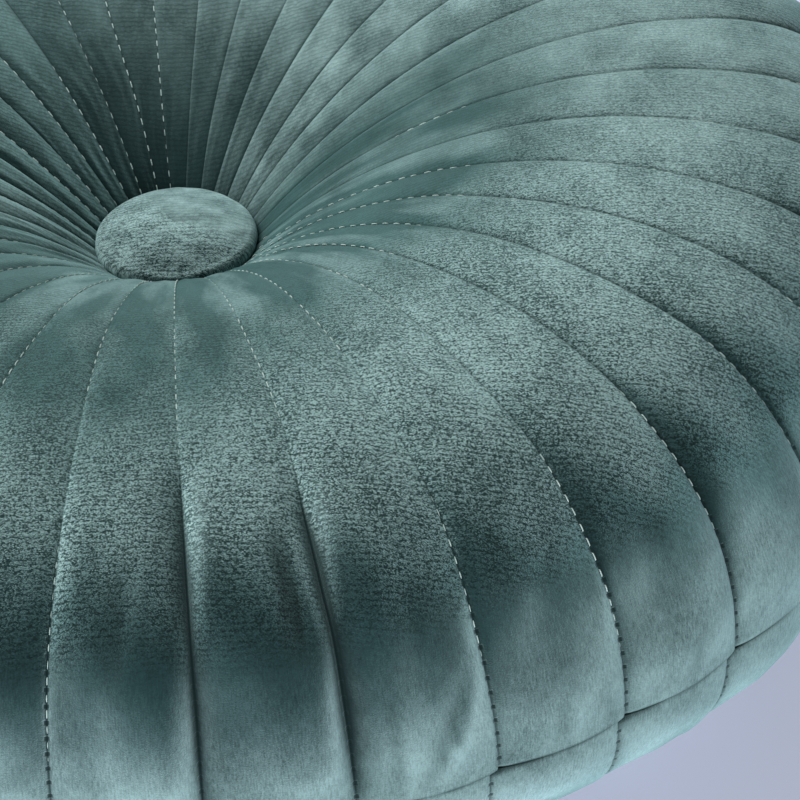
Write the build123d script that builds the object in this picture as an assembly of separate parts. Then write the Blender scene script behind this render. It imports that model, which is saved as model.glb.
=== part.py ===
from build123d import *

import os
from math import asin, cos, degrees, radians, sin, sqrt
from typing import NamedTuple

# A round quilted floor cushion with a covered button tufted into each face.
# Millimetres, +Z up, origin at the centre of the ring that rests on the floor.
# Each half is drawn above the seam plane, with heights measured from that plane.
# The lower half is then turned over about X, and both are lifted to the seam's height.

# Overall shape. Each edge arc is (radius, angle at which it ends), where the angle is
# that of the outward normal above the horizontal: 0 on the side wall, 90 on the crown.
CUSHION_RADIUS = 200.0
TOP_EDGE_ARCS = ((90.0, 10.5), (58.0, 76.0))
TOP_CROWN_RADIUS = 138.0
BOTTOM_EDGE_ARCS = ((40.0, 48.6), (60.0, 90.0))
BOTTOM_CROWN_RADIUS = 115.0
FLOOR_RING_WIDTH = 55.0
DIMPLE_RADIUS = 21.2
CROWN_ANGLE = 90.0

# Layers of the quilted faces, from the outside in.
COVER_THICKNESS = 1.2
WADDING_THICKNESS = 6.0
BACKING_THICKNESS = 0.3
LAYER_GAP = 0.1
FILLING_GAP = 1.5
WADDING_INSET = COVER_THICKNESS + LAYER_GAP
BACKING_INSET = WADDING_INSET + WADDING_THICKNESS + LAYER_GAP
QUILT_THICKNESS = BACKING_INSET + BACKING_THICKNESS
FILLING_INSET = QUILT_THICKNESS + FILLING_GAP

# Side seam: both covers turn inwards and lie together as a seam allowance.
SEAM_HALF_GAP = 0.05
SEAM_ALLOWANCE = 12.0
SEAM_THREAD_RADIUS = 0.25
SEAM_STITCH_INSET = 2.4
LAYERS_START_HEIGHT = 2.2
FILLING_NOTCH_HEIGHT = 2.6
FILLING_NOTCH_DEPTH = 1.0

# Quilting: radial stitch lines, needle thread outside and bobbin thread inside.
STITCH_LINES = 36
FIRST_LINE_ANGLE = 3.4
THREAD_RADIUS = 0.3
BOBBIN_RADIUS = 0.25
THREAD_GAP = 0.1
STITCH_START_HEIGHT = 1.0
STITCH_CLEAR_OF_BUTTON = 2.5
FLOOR_CLEAR_ANGLE = 11.0

# Covered button, with heights measured from the plane of its widest rim.
BUTTON_RADIUS = 21.8
BUTTON_RIM_RADIUS = 2.6
BUTTON_DOME_HEIGHT = 5.5
BUTTON_SEAT_CLEARANCE = 0.4
BUTTON_FABRIC_THICKNESS = 1.0
BUTTON_METAL_THICKNESS = 0.5
BUTTON_LAYER_GAP = 0.1
FABRIC_HEM_RADIUS = 13.5
CAP_CURL_RADIUS = 14.5
BACK_RADIUS = 17.5
BACK_THICKNESS = 0.6
COLLAR_RADIUS = 12.4
COLLAR_THICKNESS = 0.5
COLLAR_HEIGHT = 2.2

# Wire eye on the back of the button.
EYE_WIRE_RADIUS = 0.6
EYE_LOOP_RADIUS = 3.6
EYE_LEG_LENGTH = 1.7
EYE_FOOT_LENGTH = 2.4
EYE_BEND_RADIUS = 0.7
EYE_HOLE_CLEARANCE = 0.05

# Tufting twine: one doubled strand through both eyes, with a wrapped knot.
TWINE_RADIUS = 0.5
STRAND_OFFSET = 2.0
BIGHT_END_HEIGHT = 8.5
KNOT_INNER_RADIUS = 2.8
KNOT_TURN_RADIUS = 0.45
KNOT_TURNS = 3
KNOT_BASE_HEIGHT = -3.6
TWINE_CHANNEL_RADIUS = 4.6


class Run(NamedTuple):
    """One arc of a half's outline. A hollow arc has a negative radius."""

    centre_r: float
    centre_z: float
    radius: float
    start: float
    end: float


def point_on(run, angle, inset=0.0):
    """The point of a run where its outward normal has this angle, moved in by inset."""
    reach = run.radius - inset
    return (run.centre_r + reach * cos(radians(angle)), run.centre_z + reach * sin(radians(angle)))


def next_run(r, z, radius, start, end):
    """The arc that leaves the point (r, z) with its outward normal at the start angle."""
    centre_r = r - radius * cos(radians(start))
    centre_z = z - radius * sin(radians(start))
    return Run(centre_r, centre_z, radius, start, end)


def half_outline(edge_arcs, crown_radius, flat_width):
    """The runs of one half: side wall, shoulder, crown and dimple, and the seat under the button."""
    runs = []
    r, z, start = CUSHION_RADIUS, 0.0, 0.0
    for radius, end in edge_arcs:
        runs.append(next_run(r, z, radius, start, end))
        r, z = point_on(runs[-1], end)
        start = end
    r -= flat_width
    crown_centre_r = r - crown_radius * cos(radians(start))
    slope = degrees(asin((crown_centre_r - DIMPLE_RADIUS) / crown_radius))
    runs.append(next_run(r, z, crown_radius, start, CROWN_ANGLE + slope))
    r, z = point_on(runs[-1], runs[-1].end)
    seat_radius = (DIMPLE_RADIUS - TWINE_CHANNEL_RADIUS) / sin(radians(slope))
    runs.append(next_run(r, z, -seat_radius, CROWN_ANGLE + slope, CROWN_ANGLE))
    return runs


TOP = half_outline(TOP_EDGE_ARCS, TOP_CROWN_RADIUS, 0.0)
BOTTOM = half_outline(BOTTOM_EDGE_ARCS, BOTTOM_CROWN_RADIUS, FLOOR_RING_WIDTH)
SEAM_HEIGHT = point_on(BOTTOM[1], CROWN_ANGLE)[1]
UPPER = Pos(0, 0, SEAM_HEIGHT)
LOWER = Pos(0, 0, SEAM_HEIGHT) * Rot(180, 0, 0)


def joined_edges(runs, inset):
    """Edges along the runs at an inset, with a straight edge wherever two runs don't meet."""
    edges = []
    last = None
    for run in runs:
        first = point_on(run, run.start, inset)
        middle = point_on(run, (run.start + run.end) / 2, inset)
        if last and abs(last[0] - first[0]) > 1e-6:
            edges.append(Line(last, first))
        last = point_on(run, run.end, inset)
        edges.append(ThreePointArc(first, middle, last))
    return edges


def from_height(half, inset, height):
    """The half's runs, with the side wall starting at a height above the seam plane."""
    wall = half[0]
    start = degrees(asin(height / (wall.radius - inset)))
    return [wall._replace(start=start), *half[1:]]


def ends_of(edges):
    return edges[0] @ 0, edges[-1] @ 1


def revolved(edges):
    """A solid of revolution about Z from a closed outline drawn as (radius, height)."""
    return revolve(Plane.XZ * make_face(Curve() + edges), Axis.Z)


def closed(outer, inner, rim=()):
    """A closed outline: out along outer, across, back along inner, and home past the rim points."""
    outer_start, outer_end = ends_of(outer)
    inner_start, inner_end = ends_of(inner)
    home = [inner_start, *rim, outer_start]
    steps = [Line(a, b) for a, b in zip(home, home[1:])]
    return [*outer, Line(outer_end, inner_end), *inner, *steps]


def cover(half):
    """Velvet face with its seam allowance turned inwards."""
    outer = joined_edges(from_height(half, 0.0, SEAM_HALF_GAP), 0.0)
    allowance_top = SEAM_HALF_GAP + COVER_THICKNESS
    inner = joined_edges(from_height(half, COVER_THICKNESS, allowance_top), COVER_THICKNESS)
    edge = CUSHION_RADIUS - SEAM_ALLOWANCE
    return revolved(closed(outer, inner, [(edge, allowance_top), (edge, SEAM_HALF_GAP)]))


def quilt_layer(half, inset, thickness):
    """A layer of even thickness that follows the face from inside."""
    outer = joined_edges(from_height(half, inset, LAYERS_START_HEIGHT), inset)
    inner = joined_edges(from_height(half, inset + thickness, LAYERS_START_HEIGHT), inset + thickness)
    return revolved(closed(outer, inner))


def fibre_filling():
    """The stuffing of both halves, with a channel for the twine and a notch for the seam allowance."""
    upper = joined_edges(from_height(TOP, FILLING_INSET, FILLING_NOTCH_HEIGHT), FILLING_INSET)
    lower = joined_edges(from_height(BOTTOM, FILLING_INSET, FILLING_NOTCH_HEIGHT), FILLING_INSET)
    lower = [edge.mirror(Plane.XZ) for edge in lower]
    notch = CUSHION_RADIUS - SEAM_ALLOWANCE - FILLING_NOTCH_DEPTH
    rim = [(notch, -FILLING_NOTCH_HEIGHT), (notch, FILLING_NOTCH_HEIGHT)]
    return UPPER * revolved(closed(upper, lower, rim))


def stretch(half, offset, start, end):
    """A path along a half between two normal angles, standing off the face by offset."""
    runs = [run for run in half[:-1] if run.end > start and run.start < end]
    runs[0] = runs[0]._replace(start=start)
    runs[-1] = runs[-1]._replace(end=end)
    return joined_edges(runs, -offset)


def tube(edges, radius):
    """A round strand along edges drawn as (radius, height)."""
    path = Plane.XZ * Wire(edges)
    return sweep(Plane(origin=path @ 0, z_dir=path % 0) * Circle(radius), path)


def on_every_line(strand, first_angle):
    """Copies of a strand, one for each stitch line, as separate solids."""
    step = 360 / STITCH_LINES
    return [Rot(0, 0, first_angle + step * k) * strand for k in range(STITCH_LINES)]


def stitch_angles(half, offset):
    """Normal angles where a stitch line starts above the seam and ends short of the button."""
    start = degrees(asin(STITCH_START_HEIGHT / (half[0].radius + offset)))
    short_of_button = degrees(STITCH_CLEAR_OF_BUTTON / half[-2].radius)
    return start, half[-2].end - short_of_button


def needle_threads(half, stands_on_floor, first_angle):
    """The stitch lines on the outside. Where the face bears on the floor they sink into the pile."""
    offset = THREAD_GAP + THREAD_RADIUS
    start, end = stitch_angles(half, offset)
    stretches = [(start, end)]
    if stands_on_floor:
        stretches = [(start, CROWN_ANGLE - FLOOR_CLEAR_ANGLE), (CROWN_ANGLE + FLOOR_CLEAR_ANGLE, end)]
    strands = [tube(stretch(half, offset, *ends), THREAD_RADIUS) for ends in stretches]
    return Compound([line for strand in strands for line in on_every_line(strand, first_angle)])


def bobbin_threads(half, first_angle):
    """The same lines on the back of the quilt."""
    depth = QUILT_THICKNESS + THREAD_GAP + BOBBIN_RADIUS
    _, end = stitch_angles(half, 0.0)
    start = degrees(asin(FILLING_NOTCH_HEIGHT / (half[0].radius - depth)))
    return Compound(on_every_line(tube(stretch(half, -depth, start, end), BOBBIN_RADIUS), first_angle))


def side_seam_thread():
    """Needle and bobbin threads of the seam, one on each side of the allowance."""
    height = SEAM_HALF_GAP + COVER_THICKNESS + THREAD_GAP + SEAM_THREAD_RADIUS
    ring = Torus(CUSHION_RADIUS - SEAM_STITCH_INSET, SEAM_THREAD_RADIUS)
    return Compound([Pos(0, 0, SEAM_HEIGHT + side * height) * ring for side in (1, -1)])


def button_height(half):
    """Height of the button's rim plane, where the rim clears the dimple by the seat clearance."""
    crown = half[-2]
    across = crown.centre_r - (BUTTON_RADIUS - BUTTON_RIM_RADIUS)
    reach = crown.radius + BUTTON_RIM_RADIUS + BUTTON_SEAT_CLEARANCE
    return crown.centre_z + sqrt(reach**2 - across**2)


def button_skin(inset, hem_radius):
    """Edges from the axis over the dome and round the rim to the underside, at an inset."""
    rim_centre = BUTTON_RADIUS - BUTTON_RIM_RADIUS
    rim = BUTTON_RIM_RADIUS - inset
    low = BUTTON_DOME_HEIGHT
    dome = (rim_centre**2 + low**2 - BUTTON_RIM_RADIUS**2) / (2 * (low - BUTTON_RIM_RADIUS))
    centre = low - dome
    meet = degrees(asin(-centre / (dome - BUTTON_RIM_RADIUS)))
    crown = Run(0.0, centre, dome, CROWN_ANGLE, meet)
    edge = Run(rim_centre, 0.0, BUTTON_RIM_RADIUS, meet, -CROWN_ANGLE)
    return [*joined_edges([crown, edge], inset), Line((rim_centre, -rim), (hem_radius, -rim))]


def button_shell(inset, thickness, hem_radius):
    """A domed shell that wraps round the rim, as the velvet and the metal cap both do."""
    outer = button_skin(inset, hem_radius)
    inner = button_skin(inset + thickness, hem_radius)
    return revolved(closed(outer, inner))


def back_top():
    return -BUTTON_RIM_RADIUS - BUTTON_LAYER_GAP


def eye_holes():
    """Drills for the two legs of the wire eye."""
    drill = Cylinder(EYE_WIRE_RADIUS + EYE_HOLE_CLEARANCE, 4 * BACK_THICKNESS)
    return [Pos(side * EYE_LOOP_RADIUS, 0, back_top()) * drill for side in (1, -1)]


def button_back():
    """Pressed plate with a collar that locks the velvet inside the cap."""
    plate = Pos(0, 0, back_top() - BACK_THICKNESS / 2) * Cylinder(BACK_RADIUS, BACK_THICKNESS)
    collar = Cylinder(COLLAR_RADIUS + COLLAR_THICKNESS, COLLAR_HEIGHT) - Cylinder(COLLAR_RADIUS, COLLAR_HEIGHT)
    return plate + Pos(0, 0, back_top() + COLLAR_HEIGHT / 2) * collar - eye_holes()


def eye_loop_height():
    """Height of the centre of the eye's round end."""
    return back_top() - BACK_THICKNESS - EYE_LEG_LENGTH


def button_eye():
    """Wire eye: a round loop below the back, with legs through it and feet bent out above it."""
    bend = EYE_BEND_RADIUS
    side = EYE_LOOP_RADIUS
    foot = back_top() + bend
    tip = side + bend + EYE_FOOT_LENGTH
    loop = eye_loop_height()
    corner = bend * (1 - cos(radians(45)))
    edges = [
        Line((-tip, foot), (-side - bend, foot)),
        ThreePointArc((-side - bend, foot), (-side - corner, foot - corner), (-side, foot - bend)),
        Line((-side, foot - bend), (-side, loop)),
        ThreePointArc((-side, loop), (0, loop - side), (side, loop)),
        Line((side, loop), (side, foot - bend)),
        ThreePointArc((side, foot - bend), (side + corner, foot - corner), (side + bend, foot)),
        Line((side + bend, foot), (tip, foot)),
    ]
    return tube(edges, EYE_WIRE_RADIUS)


def twine_bight(half):
    """The bend of the twine through the eye, with its two strands down to where the bight ends."""
    turn = button_height(half) + eye_loop_height() - EYE_LOOP_RADIUS
    side = STRAND_OFFSET
    edges = [
        Line((-side, BIGHT_END_HEIGHT), (-side, turn)),
        ThreePointArc((-side, turn), (0, turn + side), (side, turn)),
        Line((side, turn), (side, BIGHT_END_HEIGHT)),
    ]
    return Rot(0, 0, 90) * tube(edges, TWINE_RADIUS)


def tufting_twine():
    """The middle of the doubled strand, between the two bights."""
    strand = Cylinder(TWINE_RADIUS, 2 * (BIGHT_END_HEIGHT - LAYER_GAP))
    return Compound([Pos(0, side * STRAND_OFFSET, SEAM_HEIGHT) * strand for side in (1, -1)])


def twine_knot():
    """Turns of twine wrapped round both strands and drawn tight."""
    outer = KNOT_INNER_RADIUS + KNOT_TURN_RADIUS
    edges = []
    for turn in range(KNOT_TURNS):
        low = KNOT_BASE_HEIGHT + 2 * KNOT_TURN_RADIUS * turn
        high = low + 2 * KNOT_TURN_RADIUS
        bulge = (outer + KNOT_TURN_RADIUS / 2, (low + high) / 2)
        edges.append(ThreePointArc((outer, low), bulge, (outer, high)))
    start, end = ends_of(edges)
    edges.append(Line(end, (KNOT_INNER_RADIUS, end.Y)))
    edges.append(Line((KNOT_INNER_RADIUS, end.Y), (KNOT_INNER_RADIUS, start.Y)))
    edges.append(Line((KNOT_INNER_RADIUS, start.Y), start))
    return UPPER * revolved(edges)


def half_nodes(name, half, place, stands_on_floor, first_angle):
    """Every node of one half, by name."""
    at_button = place * Pos(0, 0, button_height(half))
    cap_inset = BUTTON_FABRIC_THICKNESS + BUTTON_LAYER_GAP
    return {
        f"{name}_cover": place * cover(half),
        f"{name}_wadding": place * quilt_layer(half, WADDING_INSET, WADDING_THICKNESS),
        f"{name}_backing": place * quilt_layer(half, BACKING_INSET, BACKING_THICKNESS),
        f"{name}_quilting_thread": place * needle_threads(half, stands_on_floor, first_angle),
        f"{name}_bobbin_thread": place * bobbin_threads(half, first_angle),
        f"{name}_button_fabric": at_button * button_shell(0.0, BUTTON_FABRIC_THICKNESS, FABRIC_HEM_RADIUS),
        f"{name}_button_cap": at_button * button_shell(cap_inset, BUTTON_METAL_THICKNESS, CAP_CURL_RADIUS),
        f"{name}_button_back": at_button * button_back(),
        f"{name}_button_eye": at_button * button_eye(),
        f"{name}_twine_bight": place * twine_bight(half),
    }


def all_nodes():
    return {
        **half_nodes("top", TOP, UPPER, False, FIRST_LINE_ANGLE),
        **half_nodes("bottom", BOTTOM, LOWER, True, -FIRST_LINE_ANGLE),
        "side_seam_thread": side_seam_thread(),
        "fibre_filling": fibre_filling(),
        "tufting_twine": tufting_twine(),
        "twine_knot": twine_knot(),
    }


os.makedirs("parts", exist_ok=True)
for node, shape in all_nodes().items():
    export_step(shape, f"parts/{node}.step")
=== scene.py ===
import math

import bpy
import numpy as np
from mathutils import Matrix, Vector


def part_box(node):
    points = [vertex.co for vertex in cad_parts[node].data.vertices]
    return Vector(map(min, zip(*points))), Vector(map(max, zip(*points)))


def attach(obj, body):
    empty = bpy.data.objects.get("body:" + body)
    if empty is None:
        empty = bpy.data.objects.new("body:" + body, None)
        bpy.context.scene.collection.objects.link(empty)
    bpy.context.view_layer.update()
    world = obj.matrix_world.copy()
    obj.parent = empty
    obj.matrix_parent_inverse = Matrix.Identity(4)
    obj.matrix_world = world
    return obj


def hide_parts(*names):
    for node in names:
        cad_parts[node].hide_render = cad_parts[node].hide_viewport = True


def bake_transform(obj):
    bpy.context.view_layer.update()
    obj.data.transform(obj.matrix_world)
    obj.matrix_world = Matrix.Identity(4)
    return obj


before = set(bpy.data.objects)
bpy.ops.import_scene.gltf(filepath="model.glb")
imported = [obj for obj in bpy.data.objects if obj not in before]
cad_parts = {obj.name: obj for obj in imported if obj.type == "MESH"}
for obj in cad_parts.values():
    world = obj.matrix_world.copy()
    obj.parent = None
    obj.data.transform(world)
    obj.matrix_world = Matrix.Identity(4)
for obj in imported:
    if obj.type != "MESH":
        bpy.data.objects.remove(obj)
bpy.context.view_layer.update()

# Lengths here are in millimetres and angles in degrees. A mesh is written in metres.
MM = 0.001

# The outline that the panels are sewn to: arcs (radius, angle of the outward normal at the end).
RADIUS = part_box("top_cover")[1].x / MM
SEAM_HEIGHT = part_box("top_cover")[0].z / MM
TOP_EDGE_ARCS = ((90.0, 10.5), (58.0, 76.0))
TOP_CROWN_RADIUS = 138.0
BOTTOM_EDGE_ARCS = ((40.0, 48.6), (60.0, 90.0))
BOTTOM_CROWN_RADIUS = 115.0
FLOOR_RING_WIDTH = 55.0
DIMPLE_RADIUS = 21.2
SEAT_INNER_RADIUS = 8.0
SPLIT_ANGLE = 104.0

# Panels. Azimuths run from -Y, the side that faces the camera, towards +X.
PANELS = 36
PANEL_ANGLE = 360.0 / PANELS
FIRST_LINE = -6.56
LINE_SWAY = (-0.48, -0.95)
COLUMNS_PER_PANEL = 16
COVER_THICKNESS = 1.2
FLOOR_GAP = 0.02

# Stitches
STITCH_PITCH = 3.8
STITCH_LENGTH = 2.0
THREAD_RADIUS = 0.16

# Seam between the two halves
SEAM_DEPTH = 0.9
SEAM_WIDTH = 0.8
SEAM_REACH = 16.0
SCALLOP = 1.2
SCALLOP_REACH = 16.0

# Button
BUTTON_RIM = 2.6
BUTTON_COLUMNS = 144
BUTTON_CLOTH_THICKNESS = 0.8

# Camera
CAMERA_TARGET = (57.6, -55.8, 54.6)
CAMERA_DISTANCE = 956.4
CAMERA_ELEVATION = 38.1
CAMERA_ROLL = -2.81
CAMERA_LENS = 166.9
SENSOR_WIDTH = 36.0
CLIP_START = 0.05


def smooth(x, low, high):
    """0 below low, 1 above high, with a smooth step between."""
    t = np.clip((np.asarray(x, float) - low) / (high - low), 0.0, 1.0)
    return t * t * (3.0 - 2.0 * t)


def turn_from(place, azimuth):
    """Degrees from place to azimuth, between -180 and 180."""
    return (azimuth - place + 180.0) % 360.0 - 180.0


def noise(around, along, cells, seed):
    """Smooth noise from -1 to 1. around wraps from 0 to 1, along runs from 0 to 1."""
    grid = np.random.default_rng(seed).uniform(-1.0, 1.0, (cells[0], cells[1] + 2))
    x, y = (around % 1.0) * cells[0], np.clip(along, 0.0, 1.0) * cells[1]
    i, j = np.floor(x).astype(int), np.floor(y).astype(int)
    fx, fy = x - i, y - j
    fx, fy = fx * fx * (3 - 2 * fx), fy * fy * (3 - 2 * fy)
    left, right = i % cells[0], (i + 1) % cells[0]
    near = grid[left, j] * (1 - fx) + grid[right, j] * fx
    far = grid[left, j + 1] * (1 - fx) + grid[right, j + 1] * fx
    return near * (1 - fy) + far * fy


# ---------------------------------------------------------------- outline

class Outline:
    """The mean outline of one half. s is the distance from the seam along it."""

    def __init__(self, side, edge_arcs, crown_radius, flat_width):
        self.side = side
        self.runs = []
        self.point = np.array([RADIUS, 0.0])
        self.angle = 0.0
        for radius, end in edge_arcs:
            self.add_arc(radius, end)
        self.flat = (self.length, self.length + flat_width)
        self.add_flat(flat_width)
        across = self.point[0] - crown_radius * math.cos(math.radians(self.angle))
        slope = math.degrees(math.asin((across - DIMPLE_RADIUS) / crown_radius))
        self.add_arc(crown_radius, 90.0 + slope)
        self.dimple_end = self.length
        seat_radius = (DIMPLE_RADIUS - SEAT_INNER_RADIUS) / math.sin(math.radians(slope))
        self.add_arc(-seat_radius, 90.0)

    @property
    def length(self):
        return sum(run[0] for run in self.runs)

    def add_arc(self, radius, end):
        before, after = math.radians(self.angle), math.radians(end)
        centre = self.point - radius * np.array([math.cos(before), math.sin(before)])
        self.runs.append((abs(radius * (after - before)), centre, radius, self.angle, end))
        self.point = centre + radius * np.array([math.cos(after), math.sin(after)])
        self.angle = end

    def add_flat(self, width):
        if width:
            self.runs.append((width, self.point, 0.0, self.angle, self.angle))
            self.point = self.point - np.array([width, 0.0])

    def at(self, s):
        """Radius, height away from the seam, and angle of the normal, at distances s."""
        s = np.asarray(s, float)
        r, z, angle = np.zeros_like(s), np.zeros_like(s), np.zeros_like(s)
        start = 0.0
        for length, place, radius, a0, a1 in self.runs:
            here = (s >= start - 1e-9) & (s <= start + length + 1e-9)
            t = (s[here] - start) / length
            angle[here] = a0 + (a1 - a0) * t
            if a0 == a1:
                r[here], z[here] = place[0] - length * t, place[1]
            else:
                r[here] = place[0] + radius * np.cos(np.radians(angle[here]))
                z[here] = place[1] + radius * np.sin(np.radians(angle[here]))
            start += length
        return r, z, angle

    def s_where_normal(self, wanted):
        start = 0.0
        for length, _, _, a0, a1 in self.runs:
            if a0 < wanted <= a1:
                return start + length * (wanted - a0) / (a1 - a0)
            start += length
        raise ValueError(wanted)


TOP = Outline(1, TOP_EDGE_ARCS, TOP_CROWN_RADIUS, 0.0)
BOTTOM = Outline(-1, BOTTOM_EDGE_ARCS, BOTTOM_CROWN_RADIUS, FLOOR_RING_WIDTH)


# ---------------------------------------------------------------- panels and folds

# Azimuth, first and last distance from the seam, depth, half width, lean in degrees over its length.
TOP_FOLDS = (
    (9.9, 42.0, 72.0, 1.2, 1.7, -0.6),
    (19.0, 3.0, 30.0, 0.7, 1.8, 2.6),
    (27.6, 2.0, 18.0, 0.4, 1.6, 0.0),
    (31.0, 1.0, 15.0, 0.4, 1.6, -1.0),
    (-2.5, 38.0, 66.0, 0.6, 2.2, 0.5),
    (39.0, 2.0, 22.0, 0.4, 2.0, 1.5),
    (15.6, 0.0, 34.0, 0.35, 1.4, 0.4),
    (50.5, 4.0, 40.0, 0.5, 2.4, 1.0),
)
LINE_FULLNESS = {0: 1.1, 1: 2.3, 2: 2.6, 3: 1.0, 4: 0.8}
# Line, first and last distance from the seam, depth, width towards the lower and higher azimuth.
TOP_VALLEYS = (
    (1, 44.0, 98.0, 1.9, 4.6, 1.3),
    (2, 44.0, 88.0, 1.9, 3.8, 1.2),
    (1, -6.0, 48.0, 1.0, 1.6, 4.0),
    (2, -6.0, 48.0, 1.2, 1.9, 4.5),
    (4, 36.0, 76.0, 0.35, 1.3, 4.6),
    (5, 34.0, 78.0, 0.45, 1.3, 5.0),
)
# Lines whose thread stays under the pile up to the crown
BURIED_LINES = (1, 2)
RELIEF_SEEDS = {1: 20, -1: 60}


def back_right(azimuth):
    """1 at the far right and behind, where the pile hides the thread towards the button."""
    return smooth(azimuth, 88.0, 104.0) * smooth(azimuth, 186.0, 172.0)


def calm_back(azimuth):
    """1 on the far right of the photo and behind it, where the lines are hardly drawn in."""
    return smooth(azimuth, 50.0, 85.0) * smooth(azimuth, 190.0, 176.0)


def line_azimuth(k, s, outline):
    """Azimuth of stitch line k. It sways a little where the cloth was gathered."""
    azimuth = FIRST_LINE + PANEL_ANGLE * k
    turn = np.radians(azimuth)
    wander = 0.5 * noise(np.asarray(k) / PANELS, s / outline.length, (PANELS, 7), 3)
    r = outline.at(s)[0]
    sway = LINE_SWAY[0] * np.sin(turn) + LINE_SWAY[1] * np.cos(turn)
    if outline.side < 0:
        sway = sway - 0.8 * smooth(s, 60.0, 0.0) + 0.25 * np.sin(5.0 * np.asarray(k))
    return azimuth + sway + np.degrees(wander / np.maximum(r, 20.0))


def panel_values(seed, low, high, chosen=()):
    """A random value for each panel, or the chosen one."""
    values = np.random.default_rng(seed).uniform(low, high, PANELS)
    for k, value in dict(chosen).items():
        values[k % PANELS] = value
    return values


def line_strength(outline, k, u, s):
    """How deeply the nearest stitch line of panel k is drawn in, about 1."""
    shoulder = smooth(outline.at(s)[2], 90.0, 55.0)
    chosen = LINE_FULLNESS if outline.side > 0 else {}
    deep = panel_values(20 + outline.side, 0.75, 1.3, chosen)
    strength = np.where(u < 0, deep[k % PANELS], deep[(k + 1) % PANELS])
    return 1 + (strength - 1) * smooth(s, 0.0, 25.0) * shoulder


def hairline(azimuth, s):
    """Painted shade in the side seam, a dark line. It comes and goes."""
    broken = smooth(noise(azimuth / 360.0, 0.5, (190, 2), 78), -0.7, 0.5)
    return 0.9 * np.exp(-((s / 0.5) ** 2)) * (0.25 + 0.75 * broken)


def valley_place(row, azimuth, s, r):
    """Millimetres across a valley from its stitch line, and its depth at each distance."""
    line, start, end, depth = row[:4]
    t = (s - start) / (end - start)
    across = np.radians(turn_from(line_azimuth(line, s, TOP), azimuth)) * r
    return across, depth * smooth(t, 0.0, 0.3) * smooth(t, 1.0, 0.6)


def fold_place(row, azimuth, s, r):
    """Millimetres across a fold from its middle, and its depth at each distance."""
    place, start, end, depth, _, lean = row
    t = (s - start) / (end - start)
    across = np.radians(turn_from(place + lean * (t - 0.5), azimuth)) * r
    return across, depth * smooth(t, -0.15, 0.35) * smooth(t, 1.15, 0.6)


def line_shade(outline, u, azimuth, s):
    """Painted shade just past the stitch lines near the seam and along the seam, painted highlight
    just before the next line.
    """
    panel_width = outline.at(s)[0] * math.radians(PANEL_ANGLE)
    past_line, to_next = panel_width * (1 + u) / 2, panel_width * (1 - u) / 2
    low = smooth(s, 52.0, 36.0) * smooth(s, 0.0, 10.0)
    patchy = 0.5 + 0.5 * noise(azimuth / 360.0, s / outline.length, (90, 9), 77)
    shade = low * (0.45 * np.exp(-past_line / 3.0) - 0.20 * np.exp(-to_next / 3.5)) * patchy
    seam = np.exp(-((s / 4.0) ** 2)) * np.exp(-past_line / 7.0)
    return shade + 0.75 * seam * patchy + hairline(azimuth, s)


def valley_shade(row, azimuth, s, r):
    """Painted shade over the gentle flank of a valley, painted highlight beside its steep one."""
    across, depth = valley_place(row, azimuth, s, r)
    lower, higher = row[4:]
    if higher >= lower:
        across = -across
    dark = np.exp(-np.abs(across) / np.where(across < 0, 3.8, 0.8))
    pale = np.where(across > 0, np.exp(-(((across - 3.5) / 2.5) ** 2)), 0.0)
    return depth * (0.62 * dark - 0.20 * pale)


def fold_shade(row, azimuth, s, r):
    """Painted shade in a fold, painted highlight on the ridge beside it."""
    across, depth = fold_place(row, azimuth, s, r)
    width = row[4]
    dark = np.exp(-(((across + 0.4 * width) / (1.2 * width)) ** 2))
    pale = np.exp(-(((across - 2.0 * width) / (1.1 * width)) ** 2))
    return depth * (0.9 * dark - 0.8 * pale)


def crease_shade(outline, u, azimuth, s):
    """Painted shade beside a line, in a crease or along the seam (1), and painted highlight beside
    them (-1).
    """
    shade = line_shade(outline, u, azimuth, s)
    if outline.side > 0:
        r = outline.at(s)[0]
        for row in TOP_VALLEYS:
            shade = shade + valley_shade(row, azimuth, s, r)
        for row in TOP_FOLDS:
            shade = shade + fold_shade(row, azimuth, s, r)
    return np.clip(shade, -1.0, 1.0)


def line_darkness(outline, k, u, azimuth, s):
    """line_strength for the painted shade in the groove: the lines in front of the button are only
    hairlines.
    """
    to_front = np.abs(turn_from(0.0, azimuth))
    front = smooth(to_front, 42.0, 16.0) * smooth(s, 62.0, 84.0)
    behind = calm_back(azimuth) * smooth(s, 62.0, 95.0)
    upper = 1 - 0.25 * smooth(s, 70.0, 90.0)
    return line_strength(outline, k, u, s) * (1 - 0.62 * front) * (1 - 0.45 * behind) * upper


def shoulder_share(outline, angle):
    """0 on the crown or the flat underside, 1 on the shoulder and the wall."""
    low, high = (88.0, 50.0) if outline.side > 0 else (89.9, 60.0)
    return smooth(angle, low, high)


def groove_and_dome(outline, k, azimuth, s, strength):
    """How far the lines of panel k are drawn in, and how far it puffs out between them."""
    r, _, angle = outline.at(s)
    shoulder = shoulder_share(outline, angle)
    full = panel_values(RELIEF_SEEDS[outline.side] + 1, 0.75, 1.2)[k]
    ridges = np.exp(-((turn_from(-92.0, azimuth) / 42.0) ** 2)) * smooth(r, 125.0, 80.0)
    calm = calm_back(azimuth) * smooth(angle, 70.0, 86.0)
    groove = (0.22 + 0.45 * shoulder) * strength * (1 - 0.55 * calm)
    dome = (0.65 + 0.95 * shoulder + 2.2 * ridges) * full * (1 - 0.5 * calm)
    if outline.side < 0:
        return 0.6 * groove, 0.4 * dome
    return groove, dome


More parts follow.
